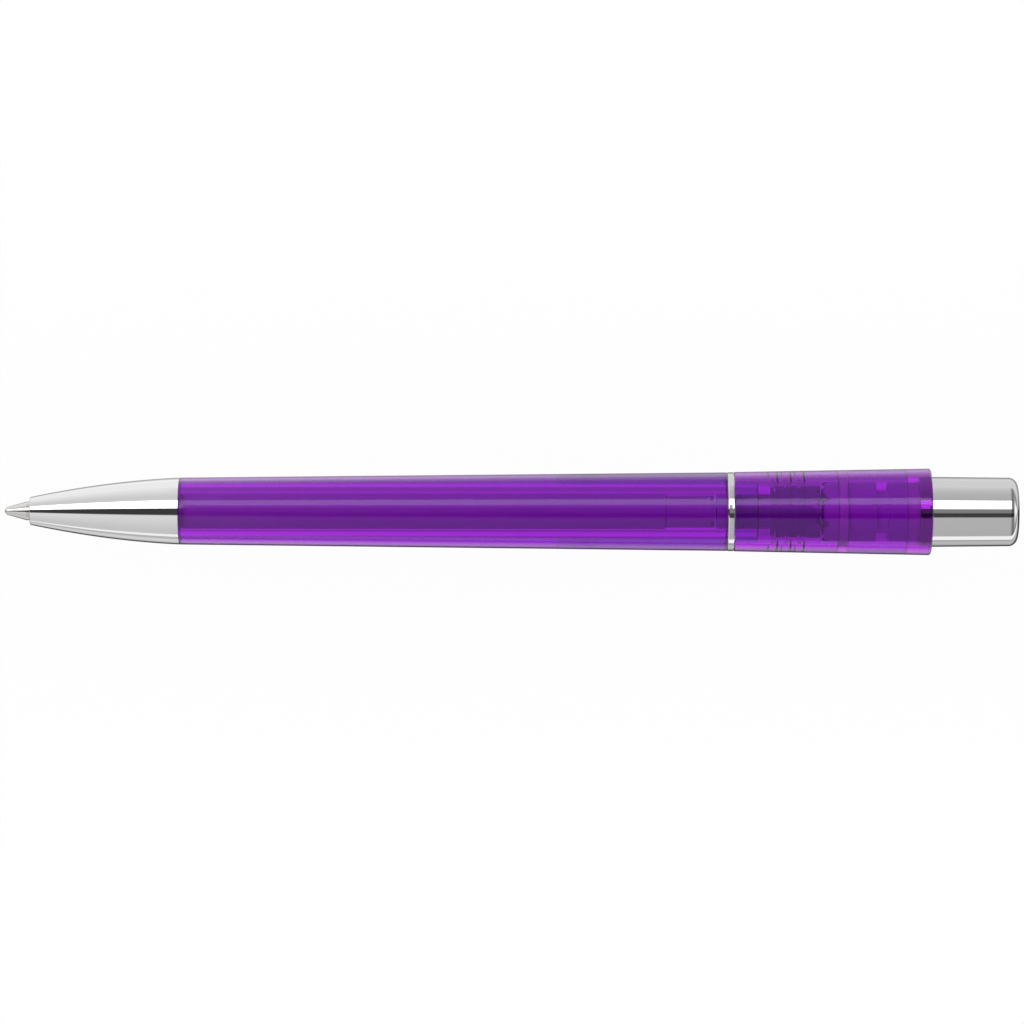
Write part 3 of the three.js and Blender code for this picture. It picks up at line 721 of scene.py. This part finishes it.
writing_ball()
metal_tip()
neck()
ink_tube()
crown()
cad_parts["ink_column"].data.materials.clear()
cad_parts["ink_column"].data.materials.append(ink)


def spring():
    """The return spring: a round wire along a helix with closed coils at both ends.

    The helix runs at an even pitch, and slows over its first and last turn until it lies flat. A ring of the wire
    at an angle a has its corners at centre + wire radius (cos c along the axis + sin c outwards).
    """
    low, high = ends("return_spring")
    count = SPRING_COILS * WIRE_STEPS + 1
    angle = np.linspace(0, 2 * np.pi * SPRING_COILS, count)
    even = angle / angle[-1]
    eased = even - np.sin(2 * np.pi * even) / (2 * np.pi) * SPRING_EASE
    radius = NECK_RADIUS + RUNNING_GAP + WIRE_DIAMETER / 2
    thick = WIRE_DIAMETER / 2
    station = low + thick + eased * (high - low - 2 * thick)
    corner = np.linspace(0, 2 * np.pi, WIRE_SIDES, endpoint=False)[None]
    out = radius + thick * np.sin(corner)
    along = station[:, None] + thick * np.cos(corner)
    turn = angle[:, None]
    place = [START + along * MM, out * MM * np.cos(turn), AXIS + out * MM * np.sin(turn)]
    points = np.stack(np.broadcast_arrays(*place), axis=-1)
    caps = points[[0, -1]].mean(axis=1, keepdims=True).repeat(WIRE_SIDES, axis=1)
    rings = np.concatenate([caps[:1], points, caps[1:]])
    mesh = close_and_smooth(grid_mesh("coil_spring", rings, False))
    made = piece("coil_spring", mesh, wire, node="return_spring")
    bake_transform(made)
    return made


spring()

# Front barrel, ring and rear barrel

barrel_rear = ends("middle_ring")[0] - SEAM
barrel_rear_radius = girth("middle_ring") - BARREL_UNDER_RING
rear_front, rear_rear = ends("rear_barrel")
ridge_radius = REAR_SPIGOT_RADIUS + RIDGE_HEIGHT


def front_barrel():
    """The long barrel: threaded spigot in front, bore, cam chamber, and a spigot with three ridges behind."""
    spigot_rear = barrel_rear + REAR_SPIGOT_LENGTH
    chamber_front = spigot_rear - CAM_CHAMBER_LENGTH
    offsets = [
        (0, REAR_SPIGOT_RADIUS),
        (RIDGE_SLOPE, ridge_radius),
        (RIDGE_WIDTH - RIDGE_SLOPE, ridge_radius),
        (RIDGE_WIDTH, REAR_SPIGOT_RADIUS),
    ]
    ridges = [
        [barrel_rear + RIDGE_FIRST + i * RIDGE_PITCH + offset, radius]
        for i in range(RIDGE_COUNT)
        for offset, radius in offsets
    ]
    corners = [
        [spigot_front, spigot_radius],
        [nose_rear, spigot_radius],
        [nose_rear, nose_rear_radius],
        [barrel_rear, barrel_rear_radius],
        [barrel_rear, REAR_SPIGOT_RADIUS],
        *ridges,
        [spigot_rear, REAR_SPIGOT_RADIUS],
        [spigot_rear, chamber_radius],
        [chamber_front, chamber_radius],
        [chamber_front, barrel_bore],
        [spigot_front, barrel_bore],
    ]
    outside = soften(corners, EDGE)
    spigot = np.linspace(spigot_front + 0.1, nose_rear - 0.1, THREAD_STEPS)
    wall = np.stack([spigot, np.full_like(spigot, spigot_radius)], axis=1)
    split = CORNER_STEPS + 1
    profile = np.concatenate([outside[:split], wall, outside[split:]])

    def thread(station, radius, turn):
        on_spigot = (np.abs(radius - spigot_radius) < 1e-6) & (station < nose_rear)
        ridge = THREAD_DEPTH * thread_height(station, turn, thread_first, thread_last)
        return station, radius + np.where(on_spigot, ridge, 0)

    mesh = turned("long_barrel", profile, shape=thread)
    return piece("long_barrel", mesh, purple, "pen_body", "front_barrel")


def middle_ring():
    """The chrome ring, with rounded edges."""
    front, rear = ends("middle_ring")
    radius, inner = girth("middle_ring"), REAR_SPIGOT_RADIUS + RUNNING_GAP
    profile = soften([[front, radius], [rear, radius], [rear, inner], [front, inner]], RING_EDGE)
    return piece("thin_ring", turned("thin_ring", profile), chrome, "pen_body", "middle_ring")


def clip_foot_ends():
    """Front and rear stations of the clip's foot."""
    rear = ends("clip")[1] - CLIP_FOOT_FROM_END
    return rear - CLIP_FOOT_LENGTH, rear


def rear_barrel():
    """The rear barrel: ridge grooves, the guide's groove, the button's bore and the pocket for the clip's foot."""
    outer = girth("rear_barrel")
    front_radius = girth("middle_ring") + SLEEVE_OVER_RING
    skirt_bore = girth("push_button") + RUNNING_GAP
    flange_radius = girth("cam_guide")
    guide_front = ends("cam_guide")[0]

    def groove(front, rear, radius, gap, slope):
        near, far = front - gap, rear + gap
        return [[far + slope, rear_bore], [far, radius + gap], [near, radius + gap], [near - slope, rear_bore]]

    flange_front = guide_front + FLANGE_FROM_FRONT
    grooves = groove(flange_front, flange_front + FLANGE_WIDTH, flange_radius, RUNNING_GAP, 0)
    for i in reversed(range(RIDGE_COUNT)):
        front = barrel_rear + RIDGE_FIRST + i * RIDGE_PITCH
        grooves += groove(front, front + RIDGE_WIDTH, ridge_radius, GROOVE_GAP, GROOVE_SLOPE)
    foot_front, foot_rear = clip_foot_ends()
    pocket_front, pocket_rear = foot_front - CLIP_FOOT_GAP, foot_rear + CLIP_FOOT_GAP
    inside = soften(
        [
            [rear_rear, skirt_bore],
            [rear_rear - SKIRT_BORE_LENGTH, skirt_bore],
            [rear_rear - SKIRT_BORE_LENGTH, rear_bore],
            *grooves,
            [rear_front, rear_bore],
        ],
        SLEEVE_EDGE,
    )
    taper = (outer - front_radius) / (rear_rear - REAR_RIM - rear_front)
    along_pocket = np.linspace(pocket_front, pocket_rear, 9)
    near_pocket = np.array([pocket_front - 0.01, pocket_front, *along_pocket, pocket_rear, pocket_rear + 0.01])
    walls = np.stack([near_pocket, front_radius + taper * (near_pocket - rear_front)], axis=1)
    rim = round_off(rear_rear - REAR_RIM, outer - REAR_RIM, REAR_RIM, 90, 0, 8)
    lip = round_off(rear_front + EDGE, front_radius - EDGE, EDGE, 180, 90, 4)
    profile = np.concatenate([lip, walls, rim, inside])
    floor = outer - CLIP_FOOT_DEPTH - CLIP_FOOT_GAP
    half_width = CLIP_FOOT_WIDTH / 2 + CLIP_FOOT_GAP

    def pocket(station, radius, turn):
        down = np.cos(turn) < 0
        across = np.abs(radius * np.sin(turn)) < half_width
        along = (station > pocket_front - 0.005) & (station < pocket_rear + 0.005)
        cut = down & across & along & (radius > floor)
        return station, np.where(cut, floor / np.maximum(-np.cos(turn), 0.1), radius)

    mesh = turned("rear_sleeve", profile, shape=pocket)
    return piece("rear_sleeve", mesh, dense_purple, "pen_body", "rear_barrel")


front_barrel()
middle_ring()
rear_barrel()

# Clip


def rounded_bar(name, station, width, low, high, power=6):
    """A bar along the pen whose section is a rounded rectangle.

    The section follows |y/a|^p + |z/b|^p = 1 with the station's half width a and half height b, and a high p keeps
    its sides flat. The ends close on their own middle.
    """
    turn = np.linspace(0, 2 * np.pi, 64, endpoint=False)[None]
    reach = (np.abs(np.cos(turn)) ** power + np.abs(np.sin(turn)) ** power) ** (-1 / power)
    half, middle, rise = width[:, None] / 2, (low + high)[:, None] / 2, (high - low)[:, None] / 2
    y = half * reach * np.cos(turn)
    z = middle + rise * reach * np.sin(turn)
    x = np.broadcast_to(station[:, None], y.shape)
    points = np.stack([START + x * MM, y * MM, z * MM], axis=-1)
    caps = points[[0, -1]].mean(axis=1, keepdims=True).repeat(points.shape[1], axis=1)
    return close_and_smooth(grid_mesh(name, np.concatenate([caps[:1], points, caps[1:]]), False))


def clip():
    """The clip: a springy arm with a nub towards the barrel near its rounded tip, and the foot that holds it."""
    front, rear = ends("clip")
    low_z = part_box("clip")[0].z / MM
    arm_top = low_z + CLIP_THICKNESS
    half_width = girth("clip")
    nub = front + CLIP_NUB_FROM_TIP
    ease = (1 - np.cos(np.linspace(0, np.pi, 25))) / 2
    station = np.concatenate(
        [
            front + CLIP_CLOSE_TIP * ease[:-1],
            np.linspace(front + CLIP_CLOSE_TIP, nub + CLIP_NUB_RADIUS, 40, endpoint=False),
            np.linspace(nub + CLIP_NUB_RADIUS, rear - CLIP_CLOSE_TAIL, 50, endpoint=False),
            rear - CLIP_CLOSE_TAIL + CLIP_CLOSE_TAIL * ease,
        ]
    )
    taper = np.interp(station, [front, rear], [CLIP_TIP_WIDTH, 2 * half_width])
    corner = CLIP_CORNER * (1 - np.sqrt(np.clip((station - front) / CLIP_CORNER, 0, 1))) ** 2
    tail = np.clip((rear - station) / CLIP_TAIL_ROUND, 0, 1)
    width = (taper - 2 * corner) * (CLIP_TAIL_WIDTH + (1 - CLIP_TAIL_WIDTH) * np.sqrt(1 - (1 - tail) ** 2))
    lift = CLIP_TIP_LIFT * np.clip(1 - (station - front) / CLIP_TIP_SLOPE, 0, 1) ** 2
    low = low_z + lift + CLIP_EDGE * (1 - np.sqrt(1 - (1 - tail) ** 2))
    foot_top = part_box("clip")[1].z / MM
    bulge = np.clip(1 - ((station - nub) / CLIP_NUB_RADIUS) ** 2, 0, 1)
    barrel_radius = np.interp(nub, [nose_rear, barrel_rear], [nose_rear_radius, barrel_rear_radius])
    nub_top = AXIS / MM - barrel_radius - END_GAP
    high = arm_top + bulge * (nub_top - arm_top)
    mesh = rounded_bar("clip_arm", station, width, low, high)
    arm = piece("clip_arm", mesh, clip_purple, "clip", "clip")
    foot_front, foot_rear = clip_foot_ends()
    edge = CLIP_FOOT_EDGE
    stations = np.concatenate([foot_front + edge * ease[::4], foot_rear - edge * ease[::-4]])
    inset = np.minimum(stations - foot_front, foot_rear - stations)
    round_in = edge - np.sqrt(edge**2 - (edge - np.clip(inset, 0, edge)) ** 2)
    foot_width = CLIP_FOOT_WIDTH - 2 * round_in
    foot_low = np.full_like(stations, arm_top - CLIP_FOOT_SUNK)
    foot_high = np.full_like(stations, foot_top) - round_in
    foot_mesh = rounded_bar("clip_foot", stations, foot_width, foot_low, foot_high, 12)
    piece("clip_foot", foot_mesh, clip_purple, "clip")
    return arm


clip()

# Click mechanism


def cam():
    """The turning cam: a stem on the refill's plug, and a head with four ribs and a toothed rear end."""
    front, rear = ends("rotating_cam")
    head = front + CAM_STEM_LENGTH
    stem = tube_radius - SEAM
    outline = [[front, 0], [front, stem], [head, stem], [head, CAM_RADIUS], [head + CAM_RIM, CAM_RADIUS]]
    outline += [[rear, CAM_RADIUS], [rear, CAM_DIMPLE_RADIUS], [rear - CAM_DIMPLE_DEPTH, 0]]
    profile = soften(outline, EDGE)
    profile[:, 1] = np.maximum(profile[:, 1], 0)

    def shaped(station, radius, turn):
        on_head = (radius > CAM_RADIUS - 0.15) & (station > head - 0.01)
        wide = np.where(on_rib(RIB_RADIUS, turn) & on_head, radius + RIB_RADIUS - CAM_RADIUS, radius)
        toothed = station > rear - TOOTHED_LENGTH
        depth = notch_depth(np.maximum(radius, CAM_TEETH_EVEN), turn, np.pi / TOOTH_COUNT)
        return np.where(toothed & (radius > CAM_TEETH_INNER), station - depth, station), wide

    mesh = turned("cam", profile, SIDES, shaped)
    return piece("cam", mesh, violet, "cam", "rotating_cam")


def guide():
    """The guide sleeve: four slots between rails, a toothed front end and a flange in the barrel's groove."""
    front, rear = ends("cam_guide")
    rail = CAM_RADIUS + RUNNING_GAP
    flange = front + FLANGE_FROM_FRONT
    flange_radius = girth("cam_guide")
    collar = rear - GUIDE_COLLAR
    outer = soften(
        [
            [front, guide_radius],
            [flange, guide_radius],
            [flange, flange_radius],
            [flange + FLANGE_WIDTH, flange_radius],
            [flange + FLANGE_WIDTH, guide_radius],
            [rear, guide_radius],
            [rear, rail],
            [collar + 0.01, rail],
            [collar - 0.01, rail],
            [front + 1, rail],
            [front, rail],
        ],
        FINE_EDGE,
    )

    def shaped(station, radius, turn):
        slot = on_rib(radius, turn, RUNNING_GAP)
        inner = (radius < rail + 0.06) & (station < collar)
        radius = np.where(slot & inner, radius + slot_radius - rail, radius)
        depth = notch_depth(radius, turn, np.pi / TOOTH_COUNT)
        return np.where(station < front + TOOTHED_LENGTH, station + depth, station), radius

    mesh = turned("guide", outer, SIDES, shaped)
    return piece("guide", mesh, violet, "pen_body", "cam_guide")


def plunger():
    """The plunger: a toothed and ribbed tube in the guide, wider where it fills the button."""
    front, rear = ends("plunger")
    guide_rear = ends("cam_guide")[1]
    head = guide_rear + PLUNGER_HEAD_FROM_GUIDE
    head_radius = girth("plunger")
    rib_rear = guide_rear - PLUNGER_RIB_REAR_FROM_GUIDE
    bore = CAM_RADIUS - PLUNGER_WALL
    profile = soften(
        [
            [front, CAM_RADIUS],
            [front + 1, CAM_RADIUS],
            [rib_rear - 0.01, CAM_RADIUS],
            [rib_rear + 0.01, CAM_RADIUS],
            [head, CAM_RADIUS],
            [head, head_radius],
            [rear, head_radius],
            [rear, bore],
            [front, bore],
        ],
        EDGE,
    )

    def shaped(station, radius, turn):
        along = (station > front + TOOTH_HEIGHT) & (station < rib_rear)
        ribbed = on_rib(RIB_RADIUS, turn) & along & (np.abs(radius - CAM_RADIUS) < 0.05)
        radius = np.where(ribbed, RIB_RADIUS, radius)
        depth = notch_depth(radius, turn, 0)
        return np.where(station < front + TOOTHED_LENGTH, station + depth, station), radius

    mesh = turned("stem", profile, SIDES, shaped)
    return piece("stem", mesh, violet, "button", "plunger")


cam()
guide()
plunger()

# Chrome button


def button():
    """The button: a chrome cap, rounded at its end, over the plunger's head."""
    front, rear = ends("push_button")
    root = girth("push_button")
    inner = root - BUTTON_WALL
    fillet = round_off(rear - BUTTON_FILLET, BUTTON_END_RADIUS - BUTTON_FILLET, BUTTON_FILLET, 90, 0, 20)
    profile = np.concatenate(
        [
            [[rear - BUTTON_END_WALL, 0], [rear - BUTTON_END_WALL, inner]],
            [[front + 0.06, inner], [front, inner + 0.06], [front, root - 0.12]],
            [[front + 0.03, root - 0.03], [front + 0.12, root]],
            [[rear_rear, root]],
            fillet,
            [[rear, 0]],
        ]
    )
    mesh = turned("button_cap", profile)
    return piece("button_cap", mesh, cap_chrome, "button", "push_button")


button()

# Studio


def grey_ramp(tree, value, levels):
    """A colour ramp over a value from 0 to 1, with a grey level at each of its places."""
    node = add(tree, "ShaderNodeValToRGB", {"Fac": value})
    stops = node.color_ramp.elements
    while len(stops) < len(levels):
        stops.new(0.5)
    for stop, (position, level) in zip(stops, levels):
        stop.position = position
        stop.color = (level, level, level, 1)
    return node.outputs["Color"]


def world_light():
    """The room: grey with a dark gap round the camera, lit more from the side, and white where the camera sees it.

    The level depends on the angle round the pen's axis, from -180 to 180 degrees with 0 straight up and +Y positive,
    and on how far the direction leans along the pen, from -1 to 1: the room is brighter ahead of the tip, darker
    past the button's end, and bright again straight behind it.
    """
    world = bpy.data.worlds.new("studio")
    bpy.context.scene.world = world
    world.use_nodes = True
    tree = world.node_tree
    way = split(tree, add(tree, "ShaderNodeTexCoord").outputs["Generated"])
    angle = fade(tree, calculate(tree, "ARCTAN2", way["Y"], way["Z"]), -math.pi, math.pi)

    def room(levels):
        """Level round the pen's axis, from pairs of an angle in degrees and a level."""
        return grey_ramp(tree, angle, [(degrees / 360 + 0.5, level) for degrees, level in levels])

    ahead = [(-91, 1), (-88, 0.6), (-75, 0.6), (-58, 0.635), (-27, 0.74), (-16, 0.735), (-13, 0.045), (8.5, 0.045)]
    ahead += [(11, 0.5), (37, 0.68), (51, 0.65), (59, 0.69), (67, 0.75), (76, 0.81), (90, 0.89)]
    across = [(-91, 0.9), (-88, 0.45), (-80, 0.45), (-60, 0.465), (-20, 0.475), (-17.5, 0.05), (-5.5, 0.05)]
    across += [(-3.5, 0.225), (9, 0.228), (12, 0.4), (53, 0.48), (61, 0.49), (69, 0.53), (77, 0.57), (90, 0.67)]
    behind = [(-91, 0.25), (-80, 0.25), (-60, 0.35), (-30, 0.7), (0, 1), (28, 1), (60, 0.27), (90, 0.25)]
    dips = [(0.12, 1), (0.28, 0.4), (0.58, 0.4), (0.8, 1)]
    dip = grey_ramp(tree, fade(tree, way["X"], -1, 1), [(lean / 2 + 0.5, level) for lean, level in dips])
    near = mix(tree, fade(tree, way["X"], -0.06, -0.16), room(across), room(ahead), "FLOAT")
    dipped = calculate(tree, "MULTIPLY", near, dip)
    level = mix(tree, fade(tree, way["X"], 0.62, 0.84), dipped, room(behind), "FLOAT")
    by_camera = add(tree, "ShaderNodeLightPath").outputs["Is Camera Ray"]
    feed(tree, tree.nodes["Background"], {"Color": mix(tree, by_camera, level, (1, 1, 1, 1))})


def floor():
    """A pale floor under the pen, white to the camera away from the pen, which keeps the pen's shadow near it.

    The chrome sees a painted reflection in it: white far out on the -Y side, painted pale grey beside the pen and
    a painted shadow, dark right under it. The plastic sees painted bands of grey, painted light and painted shadow
    where the pen's own light and shadow would fall on a floor.
    """
    half = FLOOR_SIZE / 2
    mesh = bpy.data.meshes.new("floor")
    corners = [(-half, -half), (half, -half), (half, half), (-half, half)]
    mesh.from_pydata([(x, y, -FLOOR_DROP * MM) for x, y in corners], [], [(0, 1, 2, 3)])
    made = bpy.data.objects.new("floor", mesh)
    bpy.context.scene.collection.objects.link(made)
    material, tree, shader = new_material("pale floor")
    feed(tree, shader, {"Base Color": (0.9, 0.9, 0.9, 1), "Roughness": 0.9, "Specular IOR Level": 0})
    path = add(tree, "ShaderNodeLightPath").outputs
    place = split(tree, object_place(tree))
    x, y = place["X"], place["Y"]

    def bands(levels):
        """Painted grey levels of light and shade over Y, from pairs of a place in millimetres and a level."""
        share = fade(tree, y, -FLOOR_BANDS * MM, FLOOR_BANDS * MM)
        return grey_ramp(tree, share, [((at + FLOOR_BANDS) / (2 * FLOOR_BANDS), level) for at, level in levels])

    # Painted light and painted shadow: the bands of grey that light bent through the plastic sees
    painted_through_bands = [(-50, 0.4), (-33, 0.5), (-21.8, 0.82), (-14.5, 0.93), (-10.7, 0.95), (-8.5, 0.6), (-6.5, 0.45)]
    painted_through_bands += [(-3.5, 0.62), (2.6, 0.73), (5.5, 0.82), (7.2, 0.95), (9, 0.85), (11.5, 0.55), (15, 0.48), (22, 0.45)]
    painted_through_bands += [(34, 0.58), (50, 0.65)]
    # Painted reflection for the chrome: pale grey beside the pen, and a painted shadow, dark right under it
    beside = [(-49.5, 0.36), (-36.7, 0.36), (-30.3, 0.52), (-18.9, 0.52), (-13.8, 0.4), (-11.2, 0.06), (1, 0.06)]
    beside += [(3, 0.3), (9.9, 0.3), (12.5, 0.5), (16.3, 0.75), (24, 0.68), (49.5, 0.68)]
    apart = fade(tree, calculate(tree, "ABSOLUTE", y), 12 * MM, 50 * MM, 0.98, 1)
    seen = calculate(tree, "MULTIPLY", path["Is Camera Ray"], apart)
    through = calculate(tree, "MULTIPLY", path["Is Transmission Ray"], 0.85)
    share = calculate(tree, "MAXIMUM", calculate(tree, "MAXIMUM", seen, through), path["Is Glossy Ray"])
    # Painted reflection: brighter towards the tip, and white far out on the -Y side
    near = calculate(tree, "MULTIPLY", bands(beside), fade(tree, x, -50 * MM, 10 * MM, 1.35, 1))
    far = fade(tree, calculate(tree, "MULTIPLY_ADD", x, -0.21, y), -58.5 * MM, -61 * MM, 0, 0.97)
    painted_reflection = mix(tree, path["Is Glossy Ray"], (1, 1, 1, 1), calculate(tree, "MAXIMUM", near, far))
    painted_tone = mix(tree, path["Is Transmission Ray"], painted_reflection, bands(painted_through_bands))
    glow = add(tree, "ShaderNodeEmission", {"Color": painted_tone, "Strength": 1})
    surface = add(tree, "ShaderNodeMixShader", {0: share, 1: shader.outputs[0], 2: glow.outputs[0]})
    feed(tree, tree.nodes["Material Output"], {"Surface": surface.outputs[0]})
    mesh.materials.append(material)


def softbox(name, low, high, front, rear):
    """A flat lamp beside the camera, aimed at the pen.

    It lies between two angles from straight up towards +Y, and between two places along the pen. A lamp gives its
    radiance times pi times its area as power.
    """
    middle = math.radians((low + high) / 2)
    width = 2 * LAMP_DISTANCE * math.tan(math.radians(high - low) / 2)
    lamp = bpy.data.lights.new(name, "AREA")
    lamp.shape = "RECTANGLE"
    lamp.size, lamp.size_y = rear - front, width
    lamp.energy = LAMP_RADIANCE * math.pi * lamp.size * width
    made = bpy.data.objects.new(name, lamp)
    reach = LAMP_DISTANCE * math.sin(middle), AXIS + LAMP_DISTANCE * math.cos(middle)
    made.location = ((front + rear) / 2, *reach)
    made.rotation_euler = (-middle, 0, 0)
    bpy.context.scene.collection.objects.link(made)


def camera():
    """The camera, straight above the pen, far enough away for the photograph's slight perspective."""
    data = bpy.data.cameras.new("camera")
    data.sensor_width = SENSOR
    data.lens = SENSOR * VIEW_DISTANCE / VIEW_WIDTH
    data.clip_start, data.clip_end = 0.01, 20
    made = bpy.data.objects.new("camera", data)
    made.location = (VIEW_CENTRE[0] * MM, VIEW_CENTRE[1] * MM, AXIS + VIEW_DISTANCE * MM)
    made.rotation_euler = (0, 0, VIEW_ROLL)
    bpy.context.scene.collection.objects.link(made)
    bpy.context.scene.camera = made


world_light()
floor()
softbox("softbox", 20, 37.5, -0.7, 0.24)
softbox("softbox_tip", 9.5, 20, -0.7, -0.11)
softbox("softbox_end", 9.5, 20, 0.1, 0.24)
camera()
bpy.context.scene.view_settings.view_transform = "Standard"
